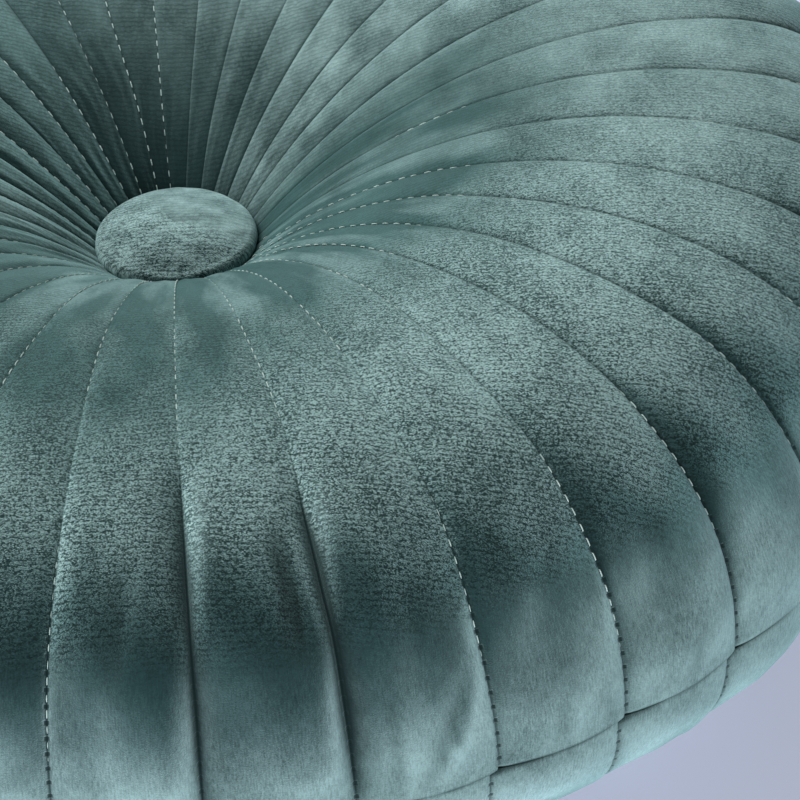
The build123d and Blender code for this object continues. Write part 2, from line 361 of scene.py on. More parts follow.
def unevenness(outline, azimuth, s, edge, room):
    """Random lumps, streaks, gathers and puckers of the cloth. All vanish at the lines."""
    r, _, angle = outline.at(s)
    seed = RELIEF_SEEDS[outline.side]
    around, along = azimuth / 360.0, s / outline.length
    broad = 0.9 * noise(around, along, (34, 6), seed + 3) * (1 - np.exp(-edge / 6.0))
    small = 0.22 * noise(around, along, (110, 22), seed + 4) * (1 - np.exp(-edge / 2.0))
    streaks = noise(around + 0.004 * np.sin(s / 15.0), along, (260, 4), seed + 5)
    streaks = 0.30 * shoulder_share(outline, angle) * streaks
    gather = noise(around + 0.003 * np.sin(s / 6.0), along, (216, 16), seed + 6)
    gather = 0.45 * smooth(r, 95.0, 35.0) * gather * (1 - 0.7 * calm_back(azimuth))
    drawn = (streaks + gather * room ** 0.3) * (1 - np.exp(-edge / 1.2))
    pucker = 0.16 * smooth(r, 30.0, 90.0) * noise(around, along, (PANELS * 4, 64), seed + 7)
    pucker = pucker * np.exp(-edge / 5.0) * (1 - np.exp(-edge / 0.8))
    return room * (broad + small) + drawn + pucker


def relief(outline, k, u, azimuth, s):
    """How far the cloth stands out from the mean outline. u is -1 to 1 across panel k."""
    r, _, angle = outline.at(s)
    half_width = r * math.radians(PANEL_ANGLE) / 2
    edge = half_width * (1 - np.abs(u))
    # Less relief fits where the lines crowd together at the button.
    room = np.clip(half_width / 9.0, 0.05, 1.0) ** 1.1
    strength = line_strength(outline, k, u, s)
    groove, dome = groove_and_dome(outline, k, azimuth, s, strength)
    skew = panel_values(RELIEF_SEEDS[outline.side] + 2, -0.2, 0.2)[k]
    tip = 0.45 * smooth(angle, 92.0, 72.0) * (smooth(s, 42.0, 62.0) - smooth(s, 50.0, 28.0))
    lean = u + (skew + tip) * (1 - u * u)
    rise = groove * (1 - np.exp(-edge / (1.1 + 0.6 * strength)))
    notch = 0.28 * (1 - np.exp(-edge / 0.4))
    out = room * (rise + dome * (1 - lean * lean)) + room ** 0.5 * notch
    out += unevenness(outline, azimuth, s, edge, room)
    if outline.side > 0:
        out += folds(azimuth, s, r) + valleys(azimuth, s, r)
    else:
        out -= room * (groove + dome) * smooth(angle, 60.0, 88.0) * smooth(r, 75.0, 95.0)
    return out


def valleys(azimuth, s, r):
    """Listed stitch lines that are drawn in deeply, with one steep flank."""
    out = np.zeros_like(s)
    for row in TOP_VALLEYS:
        across, depth = valley_place(row, azimuth, s, r)
        width = np.where(across < 0, *row[4:])
        ridge = np.exp(-(((across - 5.5) / 3.0) ** 2)) + np.exp(-(((across + 7.5) / 3.5) ** 2))
        out += depth * (0.22 * ridge - np.exp(-np.abs(across / width) ** 1.4))
    return out


def folds(azimuth, s, r):
    """Listed creases, each with a ridge beside it."""
    out = np.zeros_like(s)
    for row in TOP_FOLDS:
        across, depth = fold_place(row, azimuth, s, r)
        width = row[4]
        valley = np.exp(-((across / width) ** 2))
        ridge = np.exp(-(((across - 2.0 * width) / (1.2 * width)) ** 2))
        out += depth * (0.55 * ridge - valley)
    return out


def scallop(k, u):
    """How low the side seam hangs in a panel, as a share of SCALLOP. It is 0 at the lines."""
    t = (u + 1) / 2
    gain = panel_values(90, 0.6, 1.3)[k]
    return gain * np.sin(math.pi * np.clip(t, 0, 1) ** 1.5)


def seam_bulge(k, u):
    """How far the two halves stand out together at the side seam."""
    edge = RADIUS * math.radians(PANEL_ANGLE) / 2 * (1 - np.abs(u))
    gain = panel_values(91, 0.8, 1.25)[k]
    return gain * (0.45 * (1 - np.exp(-edge / 1.8)) + 0.45 * (1 - u * u))


def surface(outline, k, u, s, lift=0.0):
    """Points of the cloth, in millimetres, and the azimuth there."""
    first = line_azimuth(k, s, outline)
    last = line_azimuth(k + 1, s, outline)
    azimuth = first + (last - first) * (u + 1) / 2
    r, z, angle = outline.at(s)
    free = smooth(s, 0.0, SEAM_REACH)
    out = relief(outline, k % PANELS, u, azimuth, s) * free
    out += seam_bulge(k % PANELS, u) * (1 - free) + lift
    edge = r * math.radians(PANEL_ANGLE) / 2 * (1 + u)
    pulled = SEAM_DEPTH * (0.12 + 0.9 * np.exp(-edge / 6.0))
    out -= pulled * np.exp(-((s / SEAM_WIDTH) ** 1.5))
    turn, tilt = np.radians(azimuth), np.radians(angle)
    x = (r + out * np.cos(tilt)) * np.sin(turn)
    y = -(r + out * np.cos(tilt)) * np.cos(turn)
    hang = SCALLOP * (0.5 - scallop(k % PANELS, u)) * np.exp(-((s / SCALLOP_REACH) ** 2))
    height = SEAM_HEIGHT + hang + outline.side * (z + out * np.sin(tilt))
    if outline.side < 0:
        height = np.maximum(height, FLOOR_GAP)
    return np.stack([x, y, height], -1), azimuth


# ---------------------------------------------------------------- meshes

def link(mesh, name):
    """A new object in the scene that shows the mesh."""
    piece = bpy.data.objects.new(name, mesh)
    bpy.context.scene.collection.objects.link(piece)
    return piece


def loops_to_mesh(name, faces, points):
    """A mesh from an array of points in millimetres and one of quads."""
    mesh = bpy.data.meshes.new(name)
    mesh.vertices.add(len(points))
    mesh.vertices.foreach_set("co", (points * MM).astype(np.float32).ravel())
    mesh.loops.add(faces.size)
    mesh.loops.foreach_set("vertex_index", faces.ravel().astype(np.int32))
    mesh.polygons.add(len(faces))
    mesh.polygons.foreach_set("loop_start", np.arange(0, faces.size, 4, dtype=np.int32))
    mesh.update(calc_edges=True)
    mesh.polygons.foreach_set("use_smooth", np.ones(len(faces), bool))
    return mesh


def wrapped_quads(rows, columns, close_rows, flip):
    """Quads of a grid whose columns wrap round, and whose rows do too if close_rows."""
    i = np.arange(rows if close_rows else rows - 1)[:, None]
    j = np.arange(columns)[None, :]
    a, b = i * columns + j, i * columns + (j + 1) % columns
    c, d = ((i + 1) % rows) * columns + (j + 1) % columns, ((i + 1) % rows) * columns + j
    order = (a, d, c, b) if flip else (a, b, c, d)
    return np.stack(order, -1).reshape(-1, 4)


def add_attributes(mesh, attributes):
    """Store one vector per point under each name."""
    for name, values in attributes.items():
        attribute = mesh.attributes.new(name, "FLOAT_VECTOR", "POINT")
        attribute.data.foreach_set("vector", np.ascontiguousarray(values, dtype=np.float32).ravel())


def grid_columns():
    """Panel number and u of each column. Columns are closer together beside the lines."""
    t = np.linspace(-1, 1, COLUMNS_PER_PANEL + 1)[:-1]
    u = np.sign(t) * (1 - (1 - np.abs(t)) ** 1.8)
    k = np.repeat(np.arange(PANELS), COLUMNS_PER_PANEL)
    return k, np.tile(u, PANELS)


def grid_rows(outline):
    """Distances from the seam of the rows, closer together at the seam and at the button."""
    seam = np.concatenate([np.arange(0, 6, 0.55), np.arange(6, 14, 1.0)])
    split = outline.s_where_normal(SPLIT_ANGLE)
    body = np.linspace(14, split, int((split - 14) / 1.9) + 1)
    dimple = np.linspace(split, outline.dimple_end, int((outline.dimple_end - split) / 1.5) + 1)
    seat = np.linspace(outline.dimple_end, outline.length, 9)
    rows = np.concatenate([seam, body, dimple[1:], seat[1:]])
    return rows, len(seam) + len(body) - 1


def grid_normals(points, side):
    """Unit normals of a grid of points whose columns wrap round."""
    around = np.roll(points, -1, 1) - np.roll(points, 1, 1)
    along = np.gradient(points, axis=0)
    normal = np.cross(around, along) * side
    return normal / np.maximum(np.linalg.norm(normal, axis=-1, keepdims=True), 1e-9)


def cloth_attributes(outline, k, u, s, azimuth):
    """What the velvet's material reads at each point.

    cloth: place in the flat cloth, from its middle. stitch: distance from the line, number of
    the stitch and strength of the painted shade in the line's groove. brushed: place round the seam,
    distance from the seam and angle of the normal. shade: crease_shade, the painted shade and
    painted highlight of lines, creases and the seam, and how the panel tilts.
    """
    r, _, angle = outline.at(s)
    reach = outline.length + SEAT_INNER_RADIUS - s
    turn = np.radians(azimuth)
    cloth = np.stack([reach * np.sin(turn), -reach * np.cos(turn), np.zeros_like(s)], -1)
    half_width = r * math.radians(PANEL_ANGLE) / 2
    darkness = line_darkness(outline, k, u, azimuth, s)
    stitch = np.stack([half_width * (1 - np.abs(u)), s / STITCH_PITCH, darkness], -1)
    brushed = np.stack([turn * RADIUS, s, angle], -1)
    tilted = np.sin(math.pi * (u + 0.15)) * np.exp(-0.25 / np.maximum(1 - u * u, 0.01)) * 1.6
    shade = np.stack([crease_shade(outline, u, azimuth, s), tilted, np.zeros_like(s)], -1)
    return {"cloth": cloth, "stitch": stitch, "brushed": brushed, "shade": shade}


def cover_piece(name, outline, first, last, grid):
    """A closed piece of cover from row first to row last, with its inner side."""
    points, normals, attributes = grid
    inner_rows = np.unique(np.concatenate([np.arange(last, first, -5), [first]]))[::-1]
    rows = np.concatenate([np.arange(first, last + 1), inner_rows])
    inner = np.concatenate([np.zeros(last + 1 - first, bool), np.ones(len(inner_rows), bool)])
    sign = np.where(inner, -1.0, 1.0)[:, None, None]
    place = points[rows] - np.where(inner, COVER_THICKNESS, 0.0)[:, None, None] * normals[rows]
    if outline.side < 0:
        place[..., 2] = np.maximum(place[..., 2], FLOOR_GAP)
    columns = points.shape[1]
    faces = wrapped_quads(len(rows), columns, True, outline.side < 0)
    mesh = loops_to_mesh(name, faces, place.reshape(-1, 3))
    add_attributes(mesh, {key: values[rows] for key, values in attributes.items()})
    mesh.normals_split_custom_set_from_vertices((normals[rows] * sign).reshape(-1, 3))
    return link(mesh, name)


def cover_half(prefix, outline):
    """The outer face of one half, which rides on root, and its dimple."""
    k, u = grid_columns()
    rows, split = grid_rows(outline)
    s, k = np.meshgrid(rows, k, indexing="ij")
    u = np.broadcast_to(u, s.shape)
    points, azimuth = surface(outline, k, u, s)
    grid = (points, grid_normals(points, outline.side), cloth_attributes(outline, k, u, s, azimuth))
    face = cover_piece(f"{prefix}_velvet_face", outline, 0, split, grid)
    dimple = cover_piece(f"{prefix}_velvet_dimple", outline, split, len(rows) - 1, grid)
    return face, dimple


def tube_mesh(name, paths, radii, sides=6):
    """One mesh of closed tubes. paths is (tubes, points, 3), radii is (points,)."""
    count, length = paths.shape[:2]
    along = np.gradient(paths, axis=1)
    along /= np.linalg.norm(along, axis=-1, keepdims=True)
    up = np.cross(along, np.broadcast_to([0.31, 0.17, 0.94], along.shape))
    up /= np.linalg.norm(up, axis=-1, keepdims=True)
    across = np.cross(along, up)
    turn = np.arange(sides) * 2 * math.pi / sides
    ring = (up[:, :, None] * np.cos(turn)[:, None] + across[:, :, None] * np.sin(turn)[:, None])
    points = paths[:, :, None] + ring * radii[:, None, None]
    i = np.arange(length - 1)[:, None]
    j = np.arange(sides)[None]
    quad = np.stack([i * sides + j, i * sides + (j + 1) % sides,
                     (i + 1) * sides + (j + 1) % sides, (i + 1) * sides + j], -1).reshape(-1, 4)
    caps = []
    for base, step in ((0, -1), ((length - 1) * sides, 1)):
        for m in range(1, sides // 2):
            corners = [base + m - 1, base + m, base + sides - m - 1, base + (sides - m) % sides]
            caps.append(corners[::step])
    quad = np.concatenate([quad, np.array(caps)])
    faces = (quad[None] + (np.arange(count) * length * sides)[:, None, None]).reshape(-1, 4)
    return loops_to_mesh(name, faces, points.reshape(-1, 3))


def hidden_thread(k, s, outline):
    """1 where the pile closes over the thread: on the crown, low on the side and in deep valleys."""
    azimuth = FIRST_LINE + PANEL_ANGLE * k
    to_front = np.abs(turn_from(0.0, azimuth))
    last = 108.0 + 44.0 * smooth(to_front, 14.0, 40.0)
    hidden = smooth(s, 38.0, 26.0) + smooth(s, 68.0, 78.0) * smooth(s, last + 12.0, last - 8.0)
    if outline.side > 0:
        hidden = hidden + np.isin(k, BURIED_LINES) * smooth(s, 100.0, 80.0)
    hidden = hidden + back_right(azimuth) * smooth(s, 100.0, 130.0)
    hidden = hidden + 0.26 * smooth(to_front, 60.0, 100.0) * smooth(s, 130.0, 165.0)
    return np.clip(hidden, 0.0, 1.3)


def stitch_paths(outline, low, high):
    """The thread of each stitch between two distances from the seam, drawn down at its ends."""
    number = np.arange(math.ceil(low / STITCH_PITCH), math.floor(high / STITCH_PITCH))
    k, number = [a.ravel() for a in np.meshgrid(np.arange(PANELS), number, indexing="ij")]
    rng = np.random.default_rng(7 + outline.side)
    jitter = rng.uniform(-0.25, 0.25, (len(k), 1))
    length = STITCH_LENGTH * rng.uniform(0.85, 1.08, (len(k), 1))
    t = np.array([-0.5, -0.4, -0.15, 0.15, 0.4, 0.5])
    s = (number[:, None] + 0.5) * STITCH_PITCH + jitter + t * length
    s = np.clip(s, 0.5, outline.dimple_end)
    rise = np.array([-0.34, 0.07, 0.11, 0.11, 0.07, -0.34]) + rng.uniform(-0.08, 0.06, (len(k), 1))
    sunk = 0.06 + 0.28 * noise(k / PANELS, number / 70.0, (PANELS, 11), 12)[:, None]
    sunk = sunk - 0.46 * hidden_thread(k[:, None], s, outline) - 0.06 * smooth(s, 150.0, 185.0)
    u = np.full_like(s, -1.0)
    points = surface(outline, np.broadcast_to(k[:, None], s.shape), u, s, rise + sunk)[0]
    points[..., 2] = np.maximum(points[..., 2], THREAD_RADIUS + FLOOR_GAP)
    return points


def stitches(prefix, outline):
    """The thread on the outer face and in the dimple, as two pieces."""
    split = outline.s_where_normal(SPLIT_ANGLE)
    radii = THREAD_RADIUS * np.array([0.55, 0.95, 1.0, 1.0, 0.95, 0.55])
    pieces = []
    for part, low, high in (("face", 3.0, split), ("dimple", split, outline.dimple_end)):
        name = f"{prefix}_{part}_stitches"
        pieces.append(link(tube_mesh(name, stitch_paths(outline, low, high), radii), name))
    return pieces


def button_profile(radius, depth):
    """Radius and height along the velvet: over the dome, round the rim and back under it."""
    dome_end = radius - BUTTON_RIM
    dome_r = np.linspace(0.05, dome_end, 34)
    dome_z = depth - (depth - 2 * BUTTON_RIM + 0.3) * (dome_r / dome_end) ** 2.4
    bend = np.radians(np.linspace(90, -90, 13)[1:])
    rim_r = dome_end + BUTTON_RIM * np.cos(bend)
    rim_z = dome_z[-1] - BUTTON_RIM + BUTTON_RIM * np.sin(bend)
    under_r = np.linspace(dome_end, dome_end - 6.0, 5)[1:]
    under_z = np.full(len(under_r), rim_z[-1])
    return np.concatenate([dome_r, rim_r, under_r]), np.concatenate([dome_z, rim_z, under_z])


def button_attributes(place):
    """The same attributes as on the faces, for cloth that is far from any stitch line."""
    x, y = place[..., 0], place[..., 1]
    none = np.zeros_like(x)
    return {
        "cloth": np.stack([x, y, none], -1),
        "stitch": np.stack([none + 50.0, none, none + 1.0], -1),
        "brushed": np.stack([x, y, none + 90.0], -1),
        "shade": np.zeros(place.shape),
    }


def button(prefix, side):
    """Velvet drawn over the domed shell of the button and gathered in behind it."""
    low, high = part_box(f"{prefix}_button_fabric")
    radius, middle = (high.x - low.x) / 2 / MM, (low.x + high.x) / 2 / MM
    edge, crown = (low.z, high.z) if side > 0 else (high.z, low.z)
    edge, crown = edge / MM, crown / MM
    r, z = button_profile(radius, abs(crown - edge))
    turn = np.arange(BUTTON_COLUMNS) * 2 * math.pi / BUTTON_COLUMNS
    rr, tt = np.meshgrid(r, turn, indexing="ij")
    around = tt / (2 * math.pi)
    pleat = 0.16 * noise(around, rr / 30.0, (40, 3), 31 + side)
    rr = rr + pleat * smooth(rr, 14.0, radius)
    lumps = 0.25 * noise(around, rr / 30.0, (9, 3), 33 + side)
    zz = z[:, None] + lumps * smooth(rr, 4.0, 12.0)
    points = np.stack([middle + rr * np.sin(tt), -rr * np.cos(tt), edge + side * zz], -1)
    normals = grid_normals(points, -side)
    inner = np.linspace(len(r) - 1, 0, 16).astype(int)
    rows = np.concatenate([np.arange(len(r)), inner])
    inward = np.concatenate([np.zeros(len(r)), np.ones(len(inner))])[:, None, None]
    place = points[rows] - inward * BUTTON_CLOTH_THICKNESS * normals[rows]
    faces = wrapped_quads(len(rows), BUTTON_COLUMNS, True, side > 0)
    mesh = loops_to_mesh(f"{prefix}_button_velvet", faces, place.reshape(-1, 3))
    add_attributes(mesh, button_attributes(place))
    sign = np.where(inward > 0, -1.0, 1.0)
    mesh.normals_split_custom_set_from_vertices((normals[rows] * sign).reshape(-1, 3))
    return link(mesh, f"{prefix}_button_velvet")


# ---------------------------------------------------------------- materials

class Nodes:
    """Short calls for a material's node tree."""

    def __init__(self, name):
        self.material = bpy.data.materials.new(name)
        self.material.use_nodes = True
        self.tree = self.material.node_tree
        self.shader = self.tree.nodes["Principled BSDF"]

    def node(self, kind, inputs=(), **settings):
        made = self.tree.nodes.new(kind)
        for key, value in settings.items():
            setattr(made, key, value)
        for key, value in dict(inputs).items():
            self.put(made.inputs[key], value)
        return made

    def put(self, socket, value):
        if isinstance(value, bpy.types.NodeSocket):
            self.tree.links.new(value, socket)
        else:
            socket.default_value = value

    def maths(self, operation, a, b=0.0, c=0.0):
        made = self.node("ShaderNodeMath", operation=operation)
        for socket, value in zip(made.inputs, (a, b, c)):
            self.put(socket, value)
        return made.outputs[0]

    def centred(self, value):
        """A value from 0 to 1, moved to lie about 0."""
        return self.maths("SUBTRACT", value, 0.5)

    def product(self, a, b):
        return self.maths("MULTIPLY", a, b)

    def mix(self, factor, a, b, **settings):
        """Colour a where factor is 0 and b where it is 1."""
        made = self.node("ShaderNodeMix", data_type="RGBA", clamp_factor=True, **settings)
        for index, value in ((0, factor), (6, a), (7, b)):
            self.put(made.inputs[index], value)
        return made.outputs[2]

    def shade(self, factor, colour, by):
        """The colour, multiplied by another one where factor is 1."""
        return self.mix(factor, colour, by, blend_type="MULTIPLY")

    def ramp(self, value, low, high):
        """0 where value is low and 1 where it is high, with a smooth step between."""
        made = self.node("ShaderNodeMapRange", {"Value": value, "From Min": low, "From Max": high},
                         interpolation_type="SMOOTHSTEP")
        return made.outputs[0]

    def heading(self, vector, direction):
        """Cosine of the angle between a vector and a direction."""
        unit = self.node("ShaderNodeVectorMath", {0: vector}, operation="NORMALIZE")
        inputs = {0: unit.outputs["Vector"], 1: direction}
        return self.node("ShaderNodeVectorMath", inputs, operation="DOT_PRODUCT").outputs["Value"]

    def attribute(self, name):
        return self.node("ShaderNodeAttribute", attribute_name=name).outputs["Vector"]

    def parts(self, vector):
        return self.node("ShaderNodeSeparateXYZ", {0: vector}).outputs

    def scaled(self, vector, scale):
        made = self.node("ShaderNodeVectorMath", {0: vector, 1: scale}, operation="MULTIPLY")
        return made.outputs[0]

    def noise(self, vector, scale, detail=2.0, roughness=0.5):
        made = self.node("ShaderNodeTexNoise", {"Vector": vector, "Scale": scale, "Detail": detail,
                                                "Roughness": roughness})
        return made.outputs["Fac"]


WEAVE_PITCH = 1.4
# The button's velvet made paler: partly a paler nap, partly painted light where the dimple walls
# shade it.
BUTTON_NAP_AND_PAINTED_LIGHT = 0.10
# Painted sheen: the pile's colour is dark where it is seen on its tips and pale where it is seen on
# its sides, by the angle it is viewed at.
SHEEN_TIPS_DARK, SHEEN_TIPS_PALE = (0.004, 0.014, 0.015, 1), (0.026, 0.066, 0.067, 1)
SHEEN_SIDES_DARK, SHEEN_SIDES_PALE = (0.004, 0.024, 0.025, 1), (0.430, 0.630, 0.620, 1)
# Painted shade in the stitch grooves and needle holes.
GROOVE_PAINTED_SHADE = (0.003, 0.010, 0.011, 1)
# Painted sheen at the rim, where the pile is seen edge on. The pale one is also the painted highlight
# on the ridges beside creases.
RIM_SHEEN_DARK, RIM_SHEEN_PALE = (0.07, 0.15, 0.15, 1), (0.62, 0.90, 0.90, 1)
# Darker band on the shoulder: partly the nap laid over, partly painted shade.
NAP_AND_PAINTED_SHADE = (0.36, 0.48, 0.48, 1)
# Painted shade on the dimple wall to the far left.
FAR_LEFT_SHADE = (0.46, 0.55, 0.55, 1)
# Painted shade in creases, in valleys, beside stitch lines and along the side seam.
CREASE_SHADE = (0.12, 0.16, 0.16, 1)
# Painted shade low on the side towards the right, and all round near the seam.
LOW_SHADE = (0.58, 0.61, 0.60, 1)
# Darker, deeper teal in front of the button: partly the pile leaning the other way, partly painted
# shade.
TEAL_DARK, TEAL_PALE = (0.003, 0.019, 0.019, 1), (0.050, 0.130, 0.126, 1)
# Directions in the flat cloth
TEAL_HEADING = (0.34, -0.94, 0.0)
FRONT_LEFT = (-0.57, -0.82, 0.0)
BAND_HEADING = (0.87, -0.50, 0.0)
RIGHT_HEADING = (0.90, -0.44, 0.0)
FAR_LEFT = (-0.80, 0.60, 0.0)
BACK_RIGHT = (0.60, 0.80, 0.0)
SHEEN_TINT = (0.54, 0.86, 0.85, 1)


def weave_rows(m, cloth, side):
    """Rows of dashes right across the cloth, about 0. They fade out on the side."""
    x, y, _ = m.parts(cloth)
    bend = m.centred(m.noise(cloth, 0.04, 2.0))
    jitter = m.centred(m.noise(cloth, 0.6, 1.0))
    row = m.maths("MULTIPLY_ADD", y, 1 / WEAVE_PITCH, m.product(bend, 3.0))
    row = m.maths("ADD", row, jitter)
    across = m.maths("FRACT", row)
    hump = m.product(m.product(across, m.maths("SUBTRACT", 1.0, across)), 4.0)
    place = {0: m.product(x, 1.25), 1: m.product(m.maths("FLOOR", row), 5.37)}
    place = m.node("ShaderNodeCombineXYZ", place).outputs[0]
    dash = m.ramp(m.noise(place, 1.0, 2.0, 0.6), 0.32, 0.70)
    dash = m.maths("MULTIPLY_ADD", dash, 0.55, 0.45)
    rib = m.maths("MULTIPLY_ADD", hump, dash, -0.46)
    return m.product(rib, m.maths("SUBTRACT", 1.0, side))


def fleck_and_speck(m, cloth):
    """Marks of single tufts, and finer ones, both about 0."""
    cells = {"Vector": m.scaled(cloth, (2.5, 3.5, 0.0)), "Scale": 1.0}
    cells = m.node("ShaderNodeTexVoronoi", cells, voronoi_dimensions="2D")
    fleck = m.centred(m.parts(cells.outputs["Color"])[0])
    speck = m.centred(m.noise(m.scaled(cloth, (2.1, 2.9, 1.0)), 1.0, 2.0, 0.8))
    return fleck, speck


def velvet_grain(m, cloth, brushed, side, grain):
    """Tone and height of the pile: dashes on the faces, brushed streaks on the side."""
    angle = m.parts(brushed)[2]
    rib = weave_rows(m, cloth, side)
    fleck, speck = fleck_and_speck(m, cloth)
    wall = m.ramp(angle, 98.0, 112.0)
    crown = m.maths("SUBTRACT", m.maths("SUBTRACT", 1.0, side), m.product(wall, 0.82))
    behind = m.ramp(m.heading(cloth, BACK_RIGHT), -0.1, 0.75)
    rough = m.maths("MULTIPLY_ADD", fleck, 1.35, m.product(speck, 2.7))
    rough = m.product(rough, m.maths("MULTIPLY_ADD", behind, -0.72, grain))
    rows = m.maths("MULTIPLY_ADD", m.ramp(angle, 84.0, 66.0), 0.20, 0.60)
    rows = m.product(rows, m.maths("MULTIPLY_ADD", behind, -0.6, 1.0))
    tone = m.maths("MULTIPLY_ADD", rib, rows, m.maths("MULTIPLY_ADD", side, -0.18, 0.44))
    tone = m.maths("MULTIPLY_ADD", rough, m.maths("MAXIMUM", crown, 0.16), tone)
    streak = m.centred(m.noise(m.scaled(brushed, (2.2, 0.35, 0.0)), 1.0, 3.0, 0.7))
    tone = m.maths("MULTIPLY_ADD", m.product(streak, side), 1.2, tone)
    # Tone lifted on the side wall, partly for the nap brushed down and partly as painted light, and
    # lifted on the dimple wall as painted light, with painted shade on it behind to the right.
    painted_wall_light_and_shade = m.product(wall, m.maths("MULTIPLY_ADD", behind, -0.26, 0.19))
    tone = m.maths("MULTIPLY_ADD", side, 0.43, m.maths("ADD", painted_wall_light_and_shade, tone))
    height = m.maths("MULTIPLY_ADD", speck, 1.6, m.product(rib, 0.35))
    return tone, m.product(height, m.maths("MAXIMUM", crown, 0.25))


def nap_and_painted_shade_band(m, angle, cloth):
    """1 along a wavering band of the rounded shoulder, darker partly for the nap laid over and partly
    as painted shade.
    """
    waver = m.product(m.centred(m.noise(cloth, 0.05, 2.0)), 13.0)
    to_right = m.ramp(m.heading(cloth, BAND_HEADING), 0.70, 1.0)
    tilted = m.parts(m.attribute("shade"))[1]
    waver = m.maths("MULTIPLY_ADD", tilted, 4.5, waver)
    centre = m.maths("MULTIPLY_ADD", to_right, 3.0, m.maths("ADD", angle, waver))
    centre = m.maths("SUBTRACT", centre, 43.5)
    far_right = m.ramp(m.heading(cloth, RIGHT_HEADING), 0.88, 1.0)
    scaled = m.maths("DIVIDE", centre, m.maths("MULTIPLY_ADD", far_right, 7.0, 11.5))
    band = m.maths("EXPONENT", m.product(m.product(scaled, scaled), -1.0))
    return m.product(band, m.maths("MULTIPLY_ADD", to_right, 0.26, 0.74))


def teal_zone(m, cloth, brushed):
    """1 in front of the button, where the colour is a darker, deeper teal: partly the pile leaning
    the other way, partly painted shade.
    """
    reach = m.node("ShaderNodeVectorMath", {0: cloth}, operation="LENGTH").outputs["Value"]
    patches = m.ramp(m.noise(m.scaled(brushed, (0.03, 0.02, 0.0)), 1.0, 3.0), 0.66, 0.34)
    to_left = m.ramp(m.heading(cloth, FRONT_LEFT), 0.35, 0.95)
    reach = m.maths("MULTIPLY_ADD", to_left, -42.0, reach)
    ahead = m.ramp(m.heading(cloth, TEAL_HEADING), -0.35, 0.15)
    place = m.product(m.ramp(reach, 146.0, 82.0), ahead)
    return m.product(place, m.maths("MULTIPLY_ADD", patches, 0.42, 0.74))


def stitch_marks(m, angle):
    """Needle holes, and the painted shade in the stitch grooves and the holes together."""
    edge, number, depth = m.parts(m.attribute("stitch"))
    nearest = m.centred(m.maths("FRACT", m.maths("ADD", number, 0.5)))
    nearest = m.maths("ABSOLUTE", nearest)
    hole = m.product(m.ramp(nearest, 0.19, 0.09), m.ramp(edge, 0.9, 0.45))
    hole = m.product(hole, m.ramp(angle, 62.0, 30.0))
    spread = m.maths("POWER", depth, -1.4)
    groove = m.maths("EXPONENT", m.product(m.product(edge, -1.9), spread))
    groove = m.product(groove, m.maths("MULTIPLY_ADD", depth, 0.48, 0.32))
    return hole, m.maths("MAXIMUM", groove, m.product(hole, 0.9))


def pile_colour(m, tone, facing, teal, crease):
    """The pile's sheen, painted into the colour: dark where it is seen on its tips, pale on its sides
    and at the rim.
    """
    pale = m.mix(teal, m.mix(tone, SHEEN_SIDES_DARK, SHEEN_SIDES_PALE), m.mix(tone, TEAL_DARK, TEAL_PALE))
    # Painted sheen at the rim, weaker in the teal zone.
    rim = m.product(m.ramp(facing, 0.40, 0.78), m.maths("MULTIPLY_ADD", teal, -0.75, 0.75))
    pale = m.mix(rim, pale, m.mix(tone, RIM_SHEEN_DARK, RIM_SHEEN_PALE))
    # Painted highlight on the ridges beside creases and lines, in the pale sheen colour.
    pale = m.mix(m.product(crease, -0.55), pale, RIM_SHEEN_PALE)
    return m.mix(m.ramp(facing, 0.0, 0.36), m.mix(tone, SHEEN_TIPS_DARK, SHEEN_TIPS_PALE), pale)


def shaded_zones(m, colour, angle, cloth, zones):
    """Painted shade, and the nap band that is partly nap, on the parts of the cloth that the photo
    shows darker, matched to it.
    """
    # Shoulder band: partly nap, partly painted shade.
    colour = m.shade(nap_and_painted_shade_band(m, angle, cloth), colour, NAP_AND_PAINTED_SHADE)
    # Painted shade low on the side towards the right, and all round near the seam.
    to_right = m.ramp(m.heading(cloth, BAND_HEADING), 0.62, 0.95)
    low_right = m.product(m.ramp(angle, 42.0, 8.0), to_right)
    colour = m.shade(m.maths("MAXIMUM", low_right, m.ramp(angle, 20.0, 3.0)), colour, LOW_SHADE)
    if zones:
        # Painted shade on the dimple wall to the far left.
        to_left = m.ramp(m.heading(cloth, FAR_LEFT), 0.52, 0.98)
        far_left = m.product(to_left, m.ramp(angle, 92.0, 108.0))
        colour = m.shade(far_left, colour, FAR_LEFT_SHADE)
    return colour


